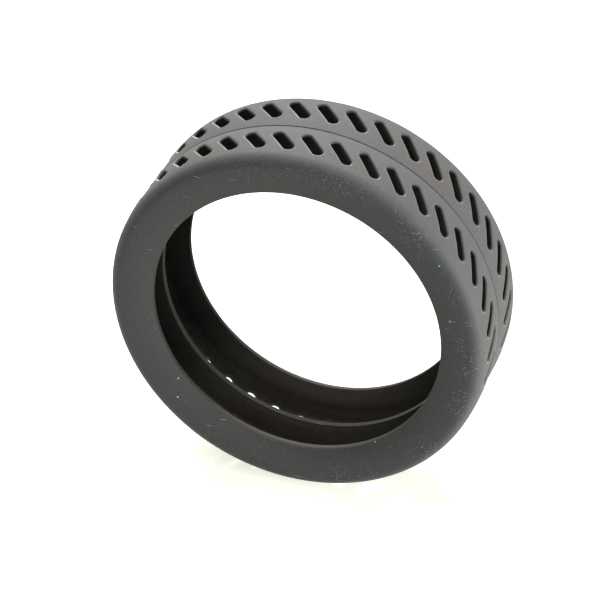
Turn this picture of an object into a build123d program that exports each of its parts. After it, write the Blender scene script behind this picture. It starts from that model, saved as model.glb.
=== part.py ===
"""A hollow rubber traction tyre that stretches over a small drive wheel.

The tyre is an open C section turned about the axle. Its tread has two low crowns that meet in a
crease, and each crown has a row of slanted slots right through it. A rounded sidewall runs in to
an open bead on each side, and one rib stands inside, under the crease.

It is one moulding, built here as its zones, which meet face to face: two tread bands, two
sidewalls, two beads and the rib.

Millimetres. The origin is the centre of the wheel, the axle lies along Y, and +Z is up.
"""

import os
from math import asin, atan2, cos, degrees, pi, radians, sin, sqrt

from build123d import *

# Overall sizes
bead_radius = 72.8  # inside the beads, where the wheel's flanges sit
section_height = 22.4  # from the beads up to the crests, the tyre's highest places

# Walls
tread_wall = 3.2  # under the crest
side_wall = 2.6  # sidewalls and beads
inner_corner = 3.0  # radius inside, where the tread turns into the sidewall

# Tread, whose lands and slots add up to its width
crease_depth = 1.2  # how far the crease lies below the crests
crease_land = 7.3  # plain tread between the crease and each row of slots
shoulder_land = 3.2  # plain tread between the slots and the sidewall
shoulder_radius = 6.8  # where the tread turns over into the sidewall

# Slots
slot_count = 42  # in each row
slot_length = 17.3  # end to end
slot_width = 5.0
slot_lean = 40.5  # degrees away from the axle, the same way in both rows
rear_slot_angle = 88.3  # where the first rear slot is, in degrees from +X towards +Z
row_stagger = 1.2  # degrees by which the front row trails the rear row

# Sidewalls and beads
bead_inset = 4.2  # how far a bead's edge is drawn in from the sidewall's widest place
bead_height = 4.0  # of the bead's lip, radially
bead_round = 2.2  # outside, where the sidewall turns under into the bead
edge_radius = 0.5  # rounding of the beads' inner edges and of the rib's edges

# Rib
rib_clearance = 4.7  # from the rib's edge to the wheel that the beads sit on
rib_thickness = 3.4
rib_root_radius = 1.2  # fillet where the rib leaves the tread

# Places that follow from those sizes
crest_radius = bead_radius + section_height
inner_radius = crest_radius - tread_wall
rib_radius = bead_radius + rib_clearance
slot_reach = (slot_length - slot_width) / 2 * cos(radians(slot_lean)) + slot_width / 2
row_offset = crease_land + slot_reach
shoulder_offset = row_offset + slot_reach + shoulder_land

# Each crown is an arc that peaks over its row of slots
crown_radius = (row_offset**2 + crease_depth**2) / (2 * crease_depth)
crown_height = crest_radius - crown_radius
crease_angle = degrees(atan2(crown_radius - crease_depth, -row_offset))
shoulder_slope = asin((shoulder_offset - row_offset) / crown_radius)
shoulder_angle = 90 - degrees(shoulder_slope)

# The shoulder leaves the crown along its tangent and is upright where the tyre is widest
half_width = shoulder_offset + shoulder_radius * (1 - sin(shoulder_slope))
belly_radius = crown_height + (crown_radius - shoulder_radius) * cos(shoulder_slope)

# Below that the sidewall is an arc that draws in by bead_inset at the bead's edge
side_drop = belly_radius - bead_radius
side_radius = (side_drop**2 + bead_inset**2) / (2 * bead_inset)


def bead_offset(depth):
    """Where the sidewall's arc, sunk that deep, reaches the bead's edge, along the axle."""
    return half_width - side_radius + sqrt((side_radius - depth) ** 2 - side_drop**2)


# Section sketches are flat drawings: x is the distance along the axle and y is the radius
with BuildSketch() as wall_section:
    with BuildLine():
        crown = CenterArc(
            (row_offset, crown_height), crown_radius, crease_angle, shoulder_angle - crease_angle
        )
        shoulder = TangentArc(crown @ 1, (half_width, belly_radius), tangent=crown % 1)
        outer_side = TangentArc(shoulder @ 1, (bead_offset(0), bead_radius), tangent=(0, -1))
        inner_belly = (half_width - side_wall, belly_radius)
        inner_side = TangentArc(inner_belly, (bead_offset(side_wall), bead_radius), tangent=(0, -1))
        Line(outer_side @ 1, inner_side @ 1)
        FilletPolyline(
            (0, inner_radius),
            (half_width - side_wall, inner_radius),
            inner_belly,
            radius=inner_corner,
        )
        Line(crown @ 0, (0, inner_radius))
    make_face()
    fillet(wall_section.vertices().group_by(Axis.Y)[0].sort_by(Axis.X)[-1], radius=bead_round)
    inner_edge = wall_section.vertices().group_by(Axis.Y)[0].sort_by(Axis.X)[0]
    fillet(inner_edge, radius=edge_radius)

with BuildSketch() as rib_section:
    # The strip of tread above the rib is there while the rib's root is rounded, then goes
    with Locations((0, inner_radius)):
        Rectangle(rib_thickness, inner_radius - rib_radius, align=(Align.CENTER, Align.MAX))
        tread_strip = Rectangle(half_width, tread_wall, align=(Align.CENTER, Align.MIN))
    root = rib_section.vertices().group_by(Axis.Y)[1].sort_by(lambda corner: abs(corner.X))[:2]
    fillet(root, radius=rib_root_radius)
    fillet(rib_section.vertices().group_by(Axis.Y)[0], radius=edge_radius)
    add(tread_strip, mode=Mode.SUBTRACT)

# Where the zones meet: the tread ends beside its slots, and the bead at its own height
with BuildSketch() as tread_zone:
    with Locations((0, belly_radius)):
        Rectangle(shoulder_offset, crest_radius - belly_radius, align=(Align.MIN, Align.MIN))

with BuildSketch() as bead_zone:
    with Locations((0, bead_radius)):
        Rectangle(half_width, bead_height, align=(Align.MIN, Align.MIN))


def slot_planes(sign, first_angle):
    """A plane on the axis of each slot in a row: its normal points out, its x along +Y."""
    planes = []
    for index in range(slot_count):
        angle = radians(first_angle) + index * 2 * pi / slot_count
        outward = Vector(cos(angle), 0, sin(angle))
        centre = outward * inner_radius + Vector(0, sign * row_offset, 0)
        planes.append(Plane(origin=centre, x_dir=(0, 1, 0), z_dir=outward))
    return planes


os.makedirs("parts", exist_ok=True)

for side, sign in (("front", -1), ("rear", 1)):
    half_plane = Plane(origin=(0, 0, 0), x_dir=(0, sign, 0), z_dir=(sign, 0, 0))
    first_angle = rear_slot_angle - (row_stagger if side == "front" else 0)

    # Tread band: half of the tread, from the crease to the shoulder, with its row of slots
    with BuildPart() as tread:
        with BuildSketch(half_plane):
            add(wall_section.sketch)
            add(tread_zone.sketch, mode=Mode.INTERSECT)
        revolve(axis=Axis.Y)
        with BuildSketch(*slot_planes(sign, first_angle)):
            SlotOverall(slot_length, slot_width, rotation=slot_lean)
        extrude(amount=inner_corner + tread_wall, both=True, mode=Mode.SUBTRACT)
    tread.part.label = f"tread_{side}"
    export_step(tread.part, f"parts/tread_{side}.step")

    # Sidewall: the rounded shoulder and the thin wall below it
    with BuildPart() as sidewall:
        with BuildSketch(half_plane):
            add(wall_section.sketch)
            add(tread_zone.sketch, mode=Mode.SUBTRACT)
            add(bead_zone.sketch, mode=Mode.SUBTRACT)
        revolve(axis=Axis.Y)
    sidewall.part.label = f"sidewall_{side}"
    export_step(sidewall.part, f"parts/sidewall_{side}.step")

    # Bead: the lip that grips the wheel's flange
    with BuildPart() as bead:
        with BuildSketch(half_plane):
            add(wall_section.sketch)
            add(bead_zone.sketch, mode=Mode.INTERSECT)
        revolve(axis=Axis.Y)
    bead.part.label = f"bead_{side}"
    export_step(bead.part, f"parts/bead_{side}.step")

# Centre rib: it keeps the tyre from walking across the wheel and stiffens the crease
with BuildPart() as centre_rib:
    with BuildSketch(Plane.YZ):
        add(rib_section.sketch)
    revolve(axis=Axis.Y)
centre_rib.part.label = "centre_rib"
export_step(centre_rib.part, "parts/centre_rib.step")
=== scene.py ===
# %% [markdown]
# # A slotted traction tyre
# The object is one hollow rubber tyre for a small drive wheel. Its CAD model is loaded first, as
# a frame that never moves, and everything below is built around it. All sizes are in metres, the
# axle lies along Y, and Z is up.

# %% Load the frame
from math import asin, cos, hypot, pi, radians, sin, sqrt, tan

import bmesh
import bpy
import numpy as np
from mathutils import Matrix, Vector


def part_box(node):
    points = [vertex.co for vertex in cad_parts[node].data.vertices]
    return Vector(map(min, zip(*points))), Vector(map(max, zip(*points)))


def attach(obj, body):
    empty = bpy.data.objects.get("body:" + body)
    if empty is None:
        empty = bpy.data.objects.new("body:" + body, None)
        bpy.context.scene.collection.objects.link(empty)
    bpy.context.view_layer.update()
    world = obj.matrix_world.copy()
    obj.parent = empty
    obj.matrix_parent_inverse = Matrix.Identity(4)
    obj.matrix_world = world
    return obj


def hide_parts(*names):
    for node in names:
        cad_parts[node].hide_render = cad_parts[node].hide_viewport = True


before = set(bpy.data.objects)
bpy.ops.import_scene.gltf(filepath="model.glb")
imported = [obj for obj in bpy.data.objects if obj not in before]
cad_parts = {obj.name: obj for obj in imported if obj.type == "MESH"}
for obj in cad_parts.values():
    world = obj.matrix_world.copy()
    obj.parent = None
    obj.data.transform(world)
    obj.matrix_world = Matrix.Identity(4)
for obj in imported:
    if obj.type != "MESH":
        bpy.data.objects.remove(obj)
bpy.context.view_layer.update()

MM = 0.001

# %% [markdown]
# ## Sizes
# The overall sizes are read from the frame, so that this script follows the CAD model. The
# sizes that a box can't show, such as those of the slots, are named here once.


# %% Sizes read from the frame
def radial_reach(node):
    """The least and greatest distance of a CAD node's points from the axle."""
    distances = [hypot(point.co.x, point.co.z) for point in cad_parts[node].data.vertices]
    return min(distances), max(distances)


crest_radius = radial_reach("tread_rear")[1]
shoulder_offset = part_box("tread_rear")[1].y
half_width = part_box("sidewall_rear")[1].y
bead_radius, bead_top = radial_reach("bead_rear")
rib_radius, inner_radius = radial_reach("centre_rib")
for name, size in (("crest", crest_radius), ("bead", bead_radius), ("rib", rib_radius)):
    print(name, "radius", round(size / MM, 3), "mm")

# %% Sizes named here
side_wall = 2.6 * MM
inner_corner = 3.0 * MM
crease_depth = 1.2 * MM
bead_inset = 4.2 * MM
bead_round = 2.2 * MM
edge_radius = 0.5 * MM
rib_half = 1.7 * MM
rib_root_radius = 1.2 * MM
slot_count = 42
slot_width = 5.0 * MM
slot_straight = 12.3 * MM  # between the centres of a slot's two round ends
slot_lean = radians(40.5)
crease_land = 7.3 * MM  # plain tread between the crease and a row of slots
row_offset = crease_land + (slot_straight * cos(slot_lean) + slot_width) / 2
rear_slot_angle = radians(88.3)
row_stagger = radians(1.2)
pitch = 2 * pi / slot_count
print("each row's centre is", round(row_offset / MM, 2), "mm from the crease")

# %% [markdown]
# ## The section
# A tyre is a section turned about its axle, so the section comes first. A subdivision surface
# over a rough ring would look much the same, but its size would drift from the CAD model's. So
# each stretch is a list of points on a true arc or line, and each point carries its own normal:
# (along the axle, radius, the normal's two parts). Neighbouring pieces then shade as one skin.


# %% Arcs and straights
def arc(centre, radius, start, end, steps, facing=1):
    """Points on an arc, with normals away from its centre, or towards it where facing is -1."""
    points = []
    for step in range(steps + 1):
        angle = start + (end - start) * step / steps
        along, out = cos(angle), sin(angle)
        place = centre[0] + radius * along, centre[1] + radius * out
        points.append((*place, facing * along, facing * out))
    return points


def straight(start, end, steps, normal):
    """Points on a straight stretch, which all have the same normal."""
    points = []
    for step in range(steps + 1):
        share = step / steps
        place = [a + (b - a) * share for a, b in zip(start, end)]
        points.append((*place, *normal))
    return points


# %% Where the arcs of the section stand
crown_arc = (row_offset**2 + crease_depth**2) / (2 * crease_depth)
crown_height = crest_radius - crown_arc
shoulder_slope = asin((shoulder_offset - row_offset) / crown_arc)
shoulder_arc = (half_width - shoulder_offset) / (1 - sin(shoulder_slope))
belly_radius = crown_height + (crown_arc - shoulder_arc) * cos(shoulder_slope)
side_drop = belly_radius - bead_radius
side_arc = (side_drop**2 + bead_inset**2) / (2 * bead_inset)
side_centre = half_width - side_arc, belly_radius
print("shoulder arc", round(shoulder_arc / MM, 2), "mm, side arc", round(side_arc / MM, 2), "mm")

# %% [markdown]
# The two halves of the mould meet in the crease at the middle of the tread, and leave a fine
# parting line along it. A bump map could draw that line, but it is modelled as a shallow notch
# with sloping walls, so that it stays in the mesh and catches light and shade from every side.

# %% The crown of the tread
notch_half = 0.6 * MM
notch_depth = 0.32 * MM


def crown(offset):
    """The tread's radius at a distance from the crease, and its normal's two parts there."""
    rise = sqrt(crown_arc**2 - (offset - row_offset) ** 2)
    radius, slope = crown_height + rise, -(offset - row_offset) / rise
    if offset < notch_half:
        phase = pi * offset / notch_half
        radius -= notch_depth * (1 + cos(phase)) / 2
        slope = slope * offset / notch_half + notch_depth * pi / notch_half * sin(phase) / 2
    length = hypot(slope, 1)
    return radius, -slope / length, 1 / length


print("the parting line is", round(notch_depth / MM, 2), "mm deep")

# %% [markdown]
# ## From a section to a piece
# Every piece is made of patches, which are grids of points with their normals. A patch goes all
# the way round the axle or round one slot. Each point also has two marks for the finish: how much
# dust lies there, where the less dust, the more painted shade, and how strong a painted highlight
# on a moulded rim is there. The patches' edges are then welded, and the known normals are given to
# the mesh, which shades better than normals guessed from faces.


# %% Patches of points
class Patch:
    """A closed grid of points and normals, with marks for dust and painted shade, and for painted
    rim highlights.
    """

    def __init__(self, points, normals, dust=0.0, rim_highlight=0.0, flat=False):
        self.points, self.normals, self.flat = points, normals, flat
        self.dust, self.rim_highlight = (self.spread(mark) for mark in (dust, rim_highlight))

    def spread(self, mark):
        """The same mark for all points, or one for each row of points, or one for each point."""
        rows = mark if np.ndim(mark) == 2 else np.reshape(mark, (-1, 1))
        return np.broadcast_to(rows, self.points.shape[:2])


def turned(section, side, angles, dust=0.0, rim_highlight=0.0, flat=False):
    """A stretch of section, turned about the axle: side is -1 for the front half."""
    section = np.array(section)[:, None, :, None]
    out = np.stack([np.cos(angles), np.zeros_like(angles), np.sin(angles)], 1)
    axle = np.array([0, side, 0])
    points = section[:, :, 0] * axle + section[:, :, 1] * out
    normals = section[:, :, 2] * axle + section[:, :, 3] * out
    return Patch(points, normals, dust, rim_highlight, flat)


def joint_face(first, last, side, angles, dust=(0, 0)):
    """The flat ring where a piece meets its neighbour, from one point of section to another."""
    return turned([first, last], side, angles, dust, flat=True)


# %% Welding patches into a closed mesh
def welded(mesh):
    """Joins the points that lie on each other, and turns every face outward."""
    work = bmesh.new()
    work.from_mesh(mesh)
    bmesh.ops.remove_doubles(work, verts=work.verts, dist=0.001 * MM)
    bmesh.ops.recalc_face_normals(work, faces=work.faces)
    open_edges = sum(len(edge.link_faces) != 2 for edge in work.edges)
    work.to_mesh(mesh)
    work.free()
    return open_edges


def keep_normals(mesh):
    """Gives smooth faces the normals that their points know, and flat faces their own."""
    known = np.zeros(len(mesh.vertices) * 3)
    mesh.attributes["known_normal"].data.foreach_get("vector", known)
    corner_points = np.zeros(len(mesh.loops), int)
    mesh.loops.foreach_get("vertex_index", corner_points)
    corners = known.reshape(-1, 3)[corner_points]
    for face in mesh.polygons:
        if not face.use_smooth:
            corners[face.loop_start:face.loop_start + face.loop_total] = face.normal
    mesh.normals_split_custom_set(corners.tolist())
    mesh.attributes.remove(mesh.attributes["known_normal"])


# %% From patches to an object
def piece(name, patches):
    """One closed mesh object made from patches."""
    faces, start = [], 0
    for patch in patches:
        rows, columns = patch.points.shape[:2]
        index = start + np.arange(rows * columns).reshape(rows, columns)
        after = np.roll(index, -1, 1)
        faces.append(np.stack([index[:-1], after[:-1], after[1:], index[1:]], -1).reshape(-1, 4))
        start += rows * columns
    smooth = np.concatenate([np.full(len(f), not p.flat) for f, p in zip(faces, patches)])
    points = np.concatenate([patch.points.reshape(-1, 3) for patch in patches])
    mesh = bpy.data.meshes.new(name)
    mesh.from_pydata(points.tolist(), [], np.concatenate(faces).tolist())
    mesh.polygons.foreach_set("use_smooth", smooth)
    normals = np.concatenate([patch.normals.reshape(-1, 3) for patch in patches])
    mesh.attributes.new("known_normal", "FLOAT_VECTOR", "POINT").data.foreach_set(
        "vector", normals.ravel()
    )
    for mark in ("dust", "rim_highlight"):
        values = np.concatenate([getattr(patch, mark).ravel() for patch in patches])
        mesh.attributes.new(mark, "FLOAT", "POINT").data.foreach_set("value", values)
    open_edges = welded(mesh)
    keep_normals(mesh)
    made = bpy.data.objects.new(name, mesh)
    bpy.context.scene.collection.objects.link(made)
    print(name, "has", len(mesh.polygons), "faces and", open_edges, "open edges")
    return made


# %% [markdown]
# ## The slotted tread
# Each slot sits in its own slanted tile of tread, and 42 tiles make a row. A boolean cut would
# give sharp lips and a ragged mesh. Here each tile is drawn as rings instead, from its border in
# to the slot, over a rounded lip, down the wall and out again along the inside. The rounding is
# what a mould leaves, and with a painted highlight on it, it draws the thin light line round each
# slot.

# %% One slot's outline and its tile's border
end_steps, side_steps = 14, 12
lip_radius = 1.3 * MM
inner_lip_radius = 0.25 * MM
tile_start = 1.2 * MM
print("each slot is", round((slot_straight + slot_width) / MM, 1), "mm long")


def slant(side, offset):
    """How far a row's tiles have turned about the axle at a distance from the crease."""
    return side * tan(slot_lean) * (offset - row_offset) / crest_radius


def slot_outline(side):
    """Points round a slot, and its outward directions, as (across, along the axle) pairs."""
    lengthwise = np.array([side * sin(slot_lean), cos(slot_lean)])
    crosswise = np.array([cos(slot_lean), -side * sin(slot_lean)])
    middle = np.array([0, row_offset])
    points, directions = [], []
    for way in (-1, 1):
        end = middle + way * lengthwise * slot_straight / 2
        for step in range(end_steps + 1):
            turn = pi * step / end_steps
            direction = way * (cos(turn) * crosswise + sin(turn) * lengthwise)
            points.append(end + direction * slot_width / 2)
            directions.append(direction)
        for step in range(1, side_steps):
            points.append(points[end_steps + (way + 1) // 2 * (end_steps + side_steps)]
                          - way * lengthwise * slot_straight * step / side_steps)
            directions.append(direction)
    return np.array(points), np.array(directions)


def tile_border(side):
    """Points round a tile, as (angle about the axle, along the axle) pairs."""
    points = []
    span = shoulder_offset - tile_start
    for way, start in ((1, tile_start), (-1, shoulder_offset)):
        for step in range(end_steps):
            angle = way * pitch * (step / end_steps - 0.5)
            points.append((angle + slant(side, start), start))
        for step in range(side_steps):
            offset = start + way * span * step / side_steps
            points.append((way * pitch / 2 + slant(side, offset), offset))
    return np.array(points)


# %% Places on the tread's outer and inner skins
def on_crown(side, angles, offsets):
    """Points and normals on the tread's outer skin."""
    radius, along, out = np.array([crown(offset) for offset in offsets]).T
    points = np.stack([radius * np.cos(angles), side * offsets, radius * np.sin(angles)], 1)
    normals = np.stack([out * np.cos(angles), side * along, out * np.sin(angles)], 1)
    return points, normals


def on_inside(side, angles, offsets):
    """Points and normals on the tread's inner skin."""
    out = np.stack([np.cos(angles), np.zeros_like(angles), np.sin(angles)], 1)
    return inner_radius * out + offsets[:, None] * np.array([0, side, 0]), -out


def angle_across(across, radius):
    """The angle about the axle of a point at a distance across its slot's axis."""
    return np.arcsin(across / radius)


# %% [markdown]
# Each slot's lip gets a painted highlight, strong at the end nearest the front of the tyre, which
# faces the lamp behind, and faint elsewhere. It is worked out here from the way that each point of
# the outline faces, and is kept on the mesh as a mark, which any material can then read.

# %% One tile
skin_steps, lip_steps, inner_lip_steps = 5, 6, 2
ring_crowding = 0.8  # below 1, the rings of a tile crowd towards the slot
dust_hold = 0.6  # below 1, dust holds on further over the lip, and the wall's painted shade starts lower
# How strong the painted highlight on a slot's lip is: a little all round, and more at the end that
# faces the lamp behind
least_lip_highlight, front_lip_highlight = 0.15, 1.6


def unit(vectors):
    """The same directions, one unit long."""
    return vectors / np.linalg.norm(vectors, axis=1, keepdims=True)


def lip(side, outline, directions, skin, radius, steps, sink):
    """Rings over a rounded lip, from the skin to the wall: sink is -1 outside, 1 inside."""
    wall = np.stack([np.zeros(len(outline)), -side * directions[:, 1], -directions[:, 0]], 1)
    rings = []
    for step in range(steps + 1):
        turn = pi / 2 * step / steps
        place = outline + directions * radius * (1 - sin(turn))
        reach = crest_radius if sink < 0 else inner_radius
        points, normals = skin(side, angle_across(place[:, 0], reach), place[:, 1])
        points[:, 0] += sink * radius * (1 - cos(turn))
        rings.append((points, unit(normals * cos(turn) + wall * sin(turn))))
    return rings


def tile(side):
    """The rings of one tile, as points, normals, and marks for dust and painted shade and for
    painted rim highlights.
    """
    outline, directions = slot_outline(side)
    border = tile_border(side)
    rings, dust, rim_highlight = [], [], []
    # The painted highlight, strongest where the lip faces the lamp behind
    lip_highlight = least_lip_highlight + front_lip_highlight * (-side * directions[:, 1]).clip(0)
    skins = (
        (on_crown, crest_radius, lip_radius, lip_steps, -1),
        (on_inside, inner_radius, inner_lip_radius, inner_lip_steps, 1),
    )
    for skin, reach, radius, steps, sink in skins:
        edge = outline + directions * radius
        edge = np.stack([angle_across(edge[:, 0], reach), edge[:, 1]], 1)
        stretch = []
        for step in range(skin_steps):
            place = border + (edge - border) * (step / skin_steps) ** ring_crowding
            stretch.append(skin(side, place[:, 0], place[:, 1]))
        stretch += lip(side, outline, directions, skin, radius, steps, sink)
        outside = sink < 0
        turns = np.linspace(0, pi / 2, steps + 1)
        # The dust thins out over the lip into the painted shade of the wall, and the painted
        # highlight lies on its first two thirds
        lip_dust = np.cos(turns).clip(0) ** dust_hold
        stretch_dust = np.concatenate([np.ones(skin_steps), lip_dust]) * outside
        stretch_highlight = np.concatenate([np.zeros(skin_steps), np.sin(turns * 3).clip(0)])
        order = 1 if outside else -1
        rings += stretch[::order]
        dust.append(stretch_dust[::order])
        rim_highlight.append(stretch_highlight[::order])
    points = np.array([ring[0] for ring in rings])
    normals = np.array([ring[1] for ring in rings])
    return points, normals, np.concatenate(dust), np.outer(np.concatenate(rim_highlight), lip_highlight)


# %% [markdown]
# The tiles stop a little short of the crease, where a plain strip of section is turned all the
# way round, with the parting line in it. Two flat rings close the band where it meets the other
# band and the sidewall.


# %% The tread bands
notch_steps = 6
strip_middle = 0.8 * MM
notch_dust = 0.4  # the share of dust left at the bottom of the parting line; the rest is painted shade


def column_angles(side, offset):
    """The angles of a row's mesh columns at a distance from the crease."""
    first = rear_slot_angle - (row_stagger if side < 0 else 0)
    columns = np.arange(slot_count * end_steps)
    return first - pitch / 2 + slant(side, offset) + columns * pitch / end_steps


def tread_band(name, side):
    """Half of the tread, from the crease to the shoulder."""
    points, normals, dust, rim_highlight = tile(side)
    patches = []
    for index in range(slot_count):
        turn = rear_slot_angle - (row_stagger if side < 0 else 0) + index * pitch
        turning = np.array([[cos(turn), 0, sin(turn)], [0, 1, 0], [-sin(turn), 0, cos(turn)]])
        patches.append(Patch(points @ turning, normals @ turning, dust, rim_highlight))
    offsets = [notch_half * step / notch_steps for step in range(notch_steps + 1)]
    offsets += [strip_middle, tile_start]
    strip = [(offset, *crown(offset)) for offset in offsets]
    # Less dust down in the parting line paints shade into the crease
    strip_dust = np.clip(np.array(offsets) / notch_half, notch_dust, 1)
    inside = straight((tile_start, inner_radius), (0, inner_radius), steps=2, normal=(0, -1))
    inner_edge = shoulder_offset, inner_radius, 0, -1
    outer_edge = shoulder_offset, *crown(shoulder_offset)
    low, high = column_angles(side, tile_start), column_angles(side, shoulder_offset)
    patches.append(turned(strip, side, low, dust=strip_dust))
    patches.append(turned(inside, side, low))
    patches.append(joint_face(strip[0], inside[-1], side, low, dust=(1, 0)))
    patches.append(joint_face(outer_edge, inner_edge, side, high, dust=(1, 0)))
    return piece(name, patches)


tread_front = tread_band("tread_band_front", -1)
tread_rear = tread_band("tread_band_rear", 1)

# %% [markdown]
# ## Sidewalls, beads and rib
# These have no slots, so each is its closed section turned about the axle. The sidewalls' and
# beads' mesh columns start where the tread's do, so that the circles where they meet have the same
# points.

# %% The bead's rounded edges
inner_side_arc = side_arc - side_wall


def rounding(radius, reach):
    """Where a rounded edge of the bead has its centre, and the direction where it starts."""
    drop = side_drop - radius
    start = -asin(drop / reach)
    return (side_centre[0] + reach * cos(start), bead_radius + radius), start


outer_edge_centre, outer_turn = rounding(bead_round, side_arc - bead_round)
inner_edge_centre, inner_turn = rounding(edge_radius, inner_side_arc + edge_radius)
outer_split = -asin((belly_radius - bead_top) / side_arc)
inner_split = -asin((belly_radius - bead_top) / inner_side_arc)
print("the bead's land is", round((outer_edge_centre[0] - inner_edge_centre[0]) / MM, 2), "mm")


# %% Sidewalls
def sidewall(name, side):
    """The rounded shoulder and the thin wall below it, down to the bead."""
    shoulder_centre = half_width - shoulder_arc, belly_radius
    outer = arc(shoulder_centre, shoulder_arc, pi / 2 - shoulder_slope, 0, steps=14)
    outer += arc(side_centre, side_arc, 0, outer_split, steps=10)[1:]
    inner_wall = half_width - side_wall
    inner = arc(side_centre, inner_side_arc, inner_split, 0, steps=8, facing=-1)
    corner_centre = inner_wall - inner_corner, inner_radius - inner_corner
    wall_top = inner_wall, corner_centre[1]
    inner += straight((inner_wall, belly_radius), wall_top, steps=2, normal=(-1, 0))[1:]
    inner += arc(corner_centre, inner_corner, 0, pi / 2, steps=8, facing=-1)[1:]
    inner.append((shoulder_offset, inner_radius, 0, -1))
    angles = column_angles(side, shoulder_offset)
    return piece(name, [
        turned(outer, side, angles, dust=1),
        joint_face(outer[-1], inner[0], side, angles, dust=(1, 0)),
        turned(inner, side, angles),
        joint_face(outer[0], inner[-1], side, angles, dust=(1, 0)),
    ])


sidewall_front = sidewall("sidewall_front_wall", -1)
sidewall_rear = sidewall("sidewall_rear_wall", 1)


# %% Beads
bead_highlight = 0.15  # how strong the painted highlight on the land is


def bead(name, side):
    """The lip that grips the wheel, with a rounded edge on each side of its land."""
    outer = arc(side_centre, side_arc, outer_split, outer_turn, steps=6)
    outer_round = arc(outer_edge_centre, bead_round, outer_turn, -pi / 2, steps=12)
    land_start, land_end = outer_edge_centre[0], inner_edge_centre[0]
    land = straight((land_start, bead_radius), (land_end, bead_radius), steps=2, normal=(0, -1))
    inner_round = arc(inner_edge_centre, edge_radius, -pi / 2, inner_turn - pi, steps=6)
    inner = arc(side_centre, inner_side_arc, inner_turn, inner_split, steps=4, facing=-1)
    angles = column_angles(side, shoulder_offset)
    fade = np.linspace(1, 0, len(outer_round))
    return piece(name, [
        turned(outer, side, angles, dust=1),
        turned(outer_round, side, angles, dust=fade, rim_highlight=(1 - fade) ** 0.5 * bead_highlight),
        turned(land, side, angles, rim_highlight=bead_highlight),
        turned(inner_round, side, angles, rim_highlight=np.linspace(bead_highlight, 0, len(inner_round))),
        turned(inner, side, angles),
        joint_face(outer[0], inner[-1], side, angles, dust=(1, 0)),
    ])


bead_front = bead("bead_lip_front", -1)
bead_rear = bead("bead_lip_rear", 1)

# %% The rib
# How strong the painted highlight on the rib's land and rounded edges is
rib_highlight = 0.2
rib_root = rib_half + rib_root_radius
root_height = inner_radius - rib_root_radius
edge_along = rib_half - edge_radius
edge_height = rib_radius + edge_radius
half_section = arc((rib_root, root_height), rib_root_radius, pi / 2, pi, steps=6, facing=-1)
half_section += straight(
    (rib_half, root_height), (rib_half, edge_height), steps=3, normal=(1, 0)
)
rounded_edge = arc((edge_along, edge_height), edge_radius, 0, -pi / 2, steps=6)
rib_land = straight(
    (edge_along, rib_radius), (-edge_along, rib_radius), steps=2, normal=(0, -1)
)


def mirrored(section):
    """The same stretch on the other side of the rib, in the opposite order."""
    return [(-along, out, -lean, up) for along, out, lean, up in reversed(section)]


rib_angles = np.arange(slot_count * end_steps) * pitch / end_steps
edge_highlight = np.linspace(0, rib_highlight, len(rounded_edge))
centre_rib = piece("rib_ring", [
    turned(half_section, 1, rib_angles),
    turned(rounded_edge, 1, rib_angles, rim_highlight=edge_highlight),
    turned(rib_land, 1, rib_angles, rim_highlight=rib_highlight),
    turned(mirrored(rounded_edge), 1, rib_angles, rim_highlight=edge_highlight[::-1]),
    turned(mirrored(half_section), 1, rib_angles),
    joint_face(mirrored(half_section)[-1], half_section[0], 1, rib_angles),
])

# %% [markdown]
# ## A small language for materials
# A material is a graph of nodes. Wiring one by hand takes many lines, so one small class wraps a
# socket, and arithmetic on it adds the Math nodes. Every other node comes from one method.


# %% Values and finishes
class Value:
    """One output socket of a material's nodes, which can be used in arithmetic."""

    def __init__(self, finish, socket):
        self.finish, self.socket = finish, socket

    def maths(self, operation, first, second=0.0, clamp=False):
        settings = {"operation": operation, "use_clamp": clamp}
        return self.finish.add("ShaderNodeMath", settings, {"Value": first, "Value_001": second})

    def __add__(self, other):
        return self.maths("ADD", self, other)

    def __radd__(self, other):
        return self.maths("ADD", other, self)

    def __sub__(self, other):
        return self.maths("SUBTRACT", self, other)

    def __rsub__(self, other):
        return self.maths("SUBTRACT", other, self)

    def __mul__(self, other):
        return self.maths("MULTIPLY", self, other)

    def __rmul__(self, other):
        return self.maths("MULTIPLY", other, self)

    def __pow__(self, other):
        return self.maths("POWER", self, other)

    def clamped(self):
        return self.maths("ADD", self, clamp=True)

    def ramp(self, low, high):
        """0 below low and 1 above high, with a smooth change between them."""
        settings = {"interpolation_type": "SMOOTHSTEP"}
        ends = {"Value": self, "From Min": low, "From Max": high}
        return self.finish.add("ShaderNodeMapRange", settings, ends)


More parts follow.
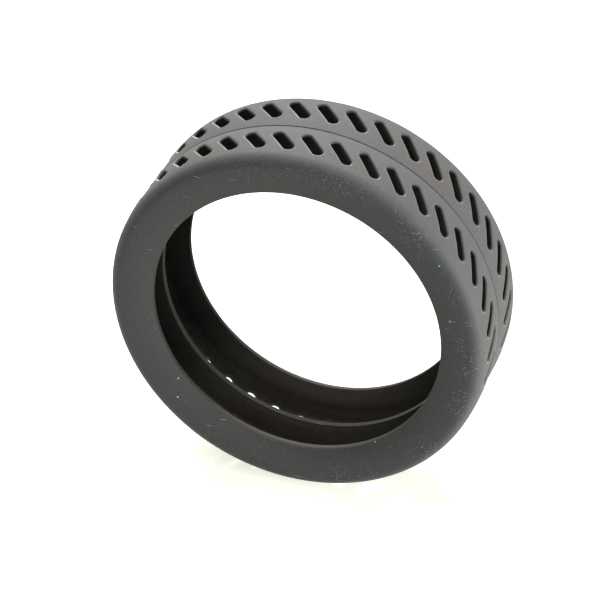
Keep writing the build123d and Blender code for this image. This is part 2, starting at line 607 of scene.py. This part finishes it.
class Finish:
    """A material with its shader, and the one method that adds a node."""

    def __init__(self, name):
        self.material = bpy.data.materials.new(name)
        self.material.use_nodes = True
        self.tree = self.material.node_tree
        self.shader = self.tree.nodes["Principled BSDF"]

    def socket(self, sockets, key):
        return next(socket for socket in sockets if key in (socket.identifier, socket.name))

    def fill(self, node, values):
        for key, value in values.items():
            socket = self.socket(node.inputs, key)
            if isinstance(value, Value):
                self.tree.links.new(value.socket, socket)
            else:
                socket.default_value = value

    def add(self, kind, settings=None, values=None, result=0):
        node = self.tree.nodes.new(kind)
        for key, value in (settings or {}).items():
            setattr(node, key, value)
        self.fill(node, values or {})
        output = node.outputs[0] if result == 0 else self.socket(node.outputs, result)
        return Value(self, output)

    def mix(self, factor, first, second):
        """From the first colour to the second as the factor goes from 0 to 1."""
        values = {"Factor_Float": factor, "A_Color": first, "B_Color": second}
        return self.add("ShaderNodeMix", {"data_type": "RGBA"}, values, "Result_Color")

    def noise(self, where, size, detail=2.0, rough=0.5):
        """Soft noise from about 0 to 1, with features about that size."""
        values = {"Vector": where, "Scale": 1 / size, "Detail": detail, "Roughness": rough}
        return self.add("ShaderNodeTexNoise", {}, values)

    def finished(self, colour, roughness, height, bump_depth, specular):
        """Connects what the surface looks like to the shader."""
        bump = self.add("ShaderNodeBump", {}, {"Height": height, "Distance": bump_depth})
        values = {"Base Color": colour, "Roughness": roughness, "Normal": bump}
        self.fill(self.shader, values | {"Specular IOR Level": specular})
        return self.material


# %% [markdown]
# ## Moulded rubber
# The real tyre is one grey-black rubber all over. What changes from place to place here is dust,
# handling marks, painted light and painted shade. A plain dark colour would look like paint, so
# the
# finish is built in layers: the rubber, painted nearly black inside as shade and brown low inside
# as light; the grey of the tread and shoulders, partly dust and partly painted sheen; painted
# highlights on the rims; and specks and scratches. Each layer has its colours here.

# %% Colours of the rubber
RUBBER = (0.038, 0.038, 0.037, 1)
# Painted shade: the nearly black inside of the ring
INSIDE_PAINTED_SHADE = (0.004, 0.003, 0.002, 1)
# Painted light: the brown low inside the ring, where it faces up to the opening
FOOT_PAINTED_LIGHT = (0.120, 0.108, 0.088, 1)
COOL_RUBBER = (0.037, 0.042, 0.042, 1)
# Tread greys: partly dust, partly painted sheen
TREAD_GREY = (0.098, 0.096, 0.094, 1)
TREAD_MAUVE = (0.104, 0.093, 0.089, 1)
TREAD_GREEN = (0.088, 0.100, 0.098, 1)
# Painted highlight on the moulded rims
RIM_HIGHLIGHT_GREY = (0.240, 0.235, 0.212, 1)
SPECK = (0.42, 0.43, 0.43, 1)

# %% [markdown]
# The layers follow the tyre's own shape, so a material needs to know where a point lies on it.
# The object's coordinates are right for that, because they turn and move with the tyre.


# %% Where a point of the surface lies
def position(finish):
    """Where the shaded point is, and its distance to the right, from the axle and upward."""
    where = finish.add("ShaderNodeTexCoord", result="Object")
    x = finish.add("ShaderNodeSeparateXYZ", {}, {"Vector": where}, "X")
    z = finish.add("ShaderNodeSeparateXYZ", {}, {"Vector": where}, "Z")
    return where, x, (x * x + z * z) ** 0.5, z


# %% [markdown]
# ### Rubber, with painted shade and light inside
# On the outside the rubber is a little cooler in colour up on the shoulders. Inside it is painted
# nearly black, as shade in the hollow of the ring, and brown towards its foot, as painted light
# where the inside faces up to the opening. That painted light stops short of the rib's land.

# %% The rubber, outside and inside
cool_from, cool_full = crest_radius - 13.2 * MM, crest_radius - 3.2 * MM
foot_light_from, foot_light_full = -35 * MM, -100 * MM


def rubber_with_painted_inside(finish, place, patches, mottle, dusty, painted_light_stop_radius):
    """The rubber's colour, with painted shade inside the ring and painted light low in it."""
    radius, height = place
    cool = (radius + patches * (4 * MM)).ramp(cool_from, cool_full)
    outside = finish.mix(cool, RUBBER, COOL_RUBBER)
    # Painted light, lighter towards the foot of the ring and kept off the rib's land
    foot_light = (height + mottle * (12 * MM)).ramp(foot_light_from, foot_light_full)
    foot_light = foot_light * radius.ramp(painted_light_stop_radius, painted_light_stop_radius + 1 * MM)
    inside = finish.mix(foot_light, INSIDE_PAINTED_SHADE, FOOT_PAINTED_LIGHT)
    return finish.mix(dusty, inside, outside)


# %% [markdown]
# ### Dust and painted sheen on the tread
# The tread is painted greyer than the sidewalls, partly for the dust that it holds from touching
# the ground and partly as painted sheen where it faces the lamps above. That grey ends in a ragged
# edge over each shoulder. Noise is added to the radius before the ramp, which frays that edge, and
# three greys are mixed by slow noise, so that no two places look alike.

# %% The tread's dust and painted sheen
dust_from, dust_full = crest_radius - 5.4 * MM, crest_radius - 0.8 * MM
fraying = 2.0 * MM


def tread_dust(finish, radius, patches, mottle, grain, dusty):
    """The tread's colour, and the share of it that shows."""
    ragged = radius + (mottle - 0.5) * fraying + (grain - 0.5) * fraying
    share = ragged.ramp(dust_from, dust_full) * dusty
    grey = finish.mix(patches.ramp(0.42, 0.62), TREAD_GREEN, TREAD_MAUVE)
    grey = finish.mix(mottle.ramp(0.3, 0.6), grey, TREAD_GREY)
    grey = finish.mix(grain.ramp(0.42, 0.62) * 0.3, grey, RUBBER)
    return grey, share


# %% [markdown]
# ### Specks and scratches
# Grit leaves pale specks in the rubber, and handling a few short scratches, most of all on the
# shoulder at the right. Modelling them would take thousands of faces. A Voronoi texture gives one
# random point to each cell of a grid instead: the distance to it draws a round spot, and the
# cell's random colour decides whether the cell has one. A scratch is the same spot, drawn out.


# %% Spots on a jittered grid
def specks(finish, where, spacing, size, share):
    """Small round spots on a jittered grid, where only a share of the grid has one."""
    values = {"Vector": where, "Scale": 1 / spacing}
    distance = finish.add("ShaderNodeTexVoronoi", {}, values, "Distance")
    chance = finish.add("ShaderNodeTexVoronoi", {}, values, "Color")
    red = finish.add("ShaderNodeSeparateColor", {}, {"Color": chance}, "Red")
    spot = 1 - distance.ramp(size / spacing * 0.35, size / spacing * 0.65)
    return spot * red.ramp(1 - share, 1 - share * 0.4)


def scratches(finish, where, turn, spacing, share):
    """Short fine scratches, which are specks drawn out along one direction."""
    values = {"Vector": where, "Rotation": (0, turn, 0), "Scale": (1, 3, 22)}
    drawn_out = finish.add("ShaderNodeMapping", {}, values)
    return specks(finish, drawn_out, spacing, spacing * 0.3, share)


# %% How thickly the marks lie
handled_from, handled_full = -80 * MM, 50 * MM
shoulder_from, shoulder_full = crest_radius - 19.2 * MM, crest_radius - 7.2 * MM


def handling_marks(finish, where, right, radius):
    """Fine specks that crowd together where the tyre is handled, with a few bright ones."""
    handled = right.ramp(handled_from, handled_full) * radius.ramp(shoulder_from, shoulder_full)
    crowd = finish.noise(where, size=16 * MM).ramp(0.38, 0.58) * (0.15 + handled * 0.85)
    fine = specks(finish, where, spacing=0.95 * MM, size=0.42 * MM, share=0.75)
    fine = fine * (0.08 + crowd)
    bright = specks(finish, where, spacing=6 * MM, size=0.9 * MM, share=0.14)
    scratched = scratches(finish, where, turn=0.7, spacing=18 * MM, share=0.06)
    scratched = scratched + scratches(finish, where, turn=-0.6, spacing=14 * MM, share=0.05)
    return (fine * 0.6 + bright + scratched * 0.6).clamped()


# %% [markdown]
# ### All the layers together
# Each layer goes over the one below it. The same masks drive the roughness and the bump, so that
# a rim is smoother as well as paler with its painted highlight, and a speck stands a little proud.

# %% The rubber's whole finish
bump_depth = 0.12 * MM
rubber_specular = 0.34


def rubber(name, painted_light_stop_radius):
    """The finish of one zone of the tyre, whose painted light low inside the ring stops at one
    radius.
    """
    finish = Finish(name)
    where, right, radius, height = position(finish)
    # The dust mark: 1 outside, and 0 for the painted shade of the inside
    dusty = finish.add("ShaderNodeAttribute", {"attribute_name": "dust"}, result="Fac")
    rim_highlight = finish.add("ShaderNodeAttribute", {"attribute_name": "rim_highlight"}, result="Fac")
    patches = finish.noise(where, size=30 * MM, detail=3)
    mottle = finish.noise(where, size=5 * MM, detail=4, rough=0.6)
    grain = finish.noise(where, size=0.8 * MM, detail=3, rough=0.65)

    # The rubber, with painted shade inside the ring and painted light low in it
    colour = rubber_with_painted_inside(finish, (radius, height), patches, mottle, dusty, painted_light_stop_radius)
    # The tread's grey, partly dust and partly painted sheen
    grey, tread = tread_dust(finish, radius, patches, mottle, grain, dusty)
    colour = finish.mix(tread, colour, grey)
    # Painted highlight on the moulded rims
    colour = finish.mix(rim_highlight * (0.2 + mottle * 0.6), colour, RIM_HIGHLIGHT_GREY)
    shown = (0.1 + dusty * 0.9) * (1 - tread * 0.85)
    marks = handling_marks(finish, where, right, radius) * shown
    colour = finish.mix(marks, colour, SPECK)

    roughness = 0.9 - dusty * 0.28 + (mottle - 0.5) * 0.12 + tread * 0.1 - rim_highlight * dusty * 0.5
    relief = grain * 0.7 + mottle * 0.6 + marks * 0.3
    return finish.finished(colour, roughness, relief, bump_depth, rubber_specular)


# %% [markdown]
# One finish is made for each zone that the record names, though all four come from the same
# recipe: anyone who reuses the part can then recolour the tread without touching the beads. The
# frame's own zones, which these pieces hide, are given the same finishes.

# %% Zones, their finishes, and how they ride
ZONES = {
    "tread_rubber": {"tread_front": tread_front, "tread_rear": tread_rear},
    "sidewall_rubber": {"sidewall_front": sidewall_front, "sidewall_rear": sidewall_rear},
    "bead_rubber": {"bead_front": bead_front, "bead_rear": bead_rear},
    "rib_rubber": {"centre_rib": centre_rib},
}
for slot, pieces in ZONES.items():
    material = rubber(slot, rib_radius if slot == "rib_rubber" else 0)
    for node, made in pieces.items():
        made.data.materials.append(material)
        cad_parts[node].data.materials.clear()
        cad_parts[node].data.materials.append(material)
        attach(made, "root")
        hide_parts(node)
    print(slot, "is on", ", ".join(pieces))

# %% [markdown]
# ## Floor
# The tyre stands on a white sheet in a bright studio. The sheet glows a little, so that it reads
# as pure white with only a breath of shadow. Its bounce would light up the inside of the ring,
# which is nearly black on the real tyre, so the sheet is hidden from soft bounced light. Its
# reflection still shows on the sidewall.

# %% Floor
sheet_reach = 8.0
SHEET_WHITE = (0.6, 0.6, 0.58, 1)
SHEET_GLOW = (1, 1, 0.86, 1)

floor_mesh = bpy.data.meshes.new("studio_floor")
work = bmesh.new()
bmesh.ops.create_grid(work, x_segments=1, y_segments=1, size=sheet_reach)
bmesh.ops.translate(work, verts=work.verts, vec=(0, 0, -crest_radius))
work.to_mesh(floor_mesh)
work.free()
floor = bpy.data.objects.new("studio_floor", floor_mesh)
bpy.context.scene.collection.objects.link(floor)
paper = Finish("white_sheet")
paper.fill(paper.shader, {"Base Color": SHEET_WHITE, "Roughness": 0.8})
paper.fill(paper.shader, {"Emission Color": SHEET_GLOW, "Emission Strength": 0.7})
floor_mesh.materials.append(paper.material)
floor.visible_diffuse = False
print("the sheet lies", round(crest_radius / MM, 1), "mm below the axle")

# %% [markdown]
# ## Light
# Black rubber shows its shape by soft highlights, so the lamps are large softboxes. The one behind
# lights the top of the tread, and a weak one above joins it to the sides. One at the right rounds
# the shoulder, and a low one in front lights the sidewall. The world adds a little light all
# round.


# %% Lights
def softbox(name, place, size, power):
    """A square lamp that faces the middle of the tyre."""
    lamp = bpy.data.lights.new(name, "AREA")
    lamp.shape, lamp.size, lamp.energy = "SQUARE", size, power
    made = bpy.data.objects.new(name, lamp)
    made.location = place
    made.rotation_euler = (-Vector(place)).to_track_quat("-Z", "Y").to_euler()
    bpy.context.scene.collection.objects.link(made)
    print(name, "gives", power, "W from", round(Vector(place).length, 2), "m away")


softbox("softbox_behind", place=(-0.5, 1.1, 1.15), size=1.2, power=49)
softbox("softbox_above", place=(-0.5, 0.1, 1.5), size=1.2, power=9)
softbox("fill_front", place=(0.3, -2.0, 0.0), size=1.4, power=25)
softbox("side_right", place=(1.6, -0.2, 0.0), size=0.9, power=58)

# %% The world
world = bpy.data.worlds.new("studio")
bpy.context.scene.world = world
world.use_nodes = True
background = world.node_tree.nodes["Background"]
background.inputs["Color"].default_value = (1, 1, 1, 1)
background.inputs["Strength"].default_value = 0.31
bpy.context.scene.view_settings.view_transform = "Standard"
print("the world's light is", round(background.inputs["Strength"].default_value, 2))

# %% [markdown]
# ## Camera
# The camera looks down on the tyre from the front and a little from its right, which shows the
# sidewall, the tread and the inside at once. It stands well back with a long lens, so that the
# ring keeps its proportions.

# %% Camera
view_azimuth, view_height = radians(18.89), radians(34.66)
view_distance = 1.2392
aim_right, aim_up = -5.92 * MM, -2.64 * MM
sideways = Vector((cos(view_azimuth), sin(view_azimuth), 0))
forward = Vector((
    -sin(view_azimuth) * cos(view_height), cos(view_azimuth) * cos(view_height), -sin(view_height)
))
upward = sideways.cross(forward)
aim = sideways * aim_right + upward * aim_up
camera_data = bpy.data.cameras.new("camera")
camera_data.sensor_width = 36
camera_data.lens = 152.4
camera = bpy.data.objects.new("camera", camera_data)
camera.location = aim - forward * view_distance
camera.rotation_euler = forward.to_track_quat("-Z", "Y").to_euler()
bpy.context.scene.collection.objects.link(camera)
bpy.context.scene.camera = camera
print("the camera stands at", [round(value, 3) for value in camera.location], "m")
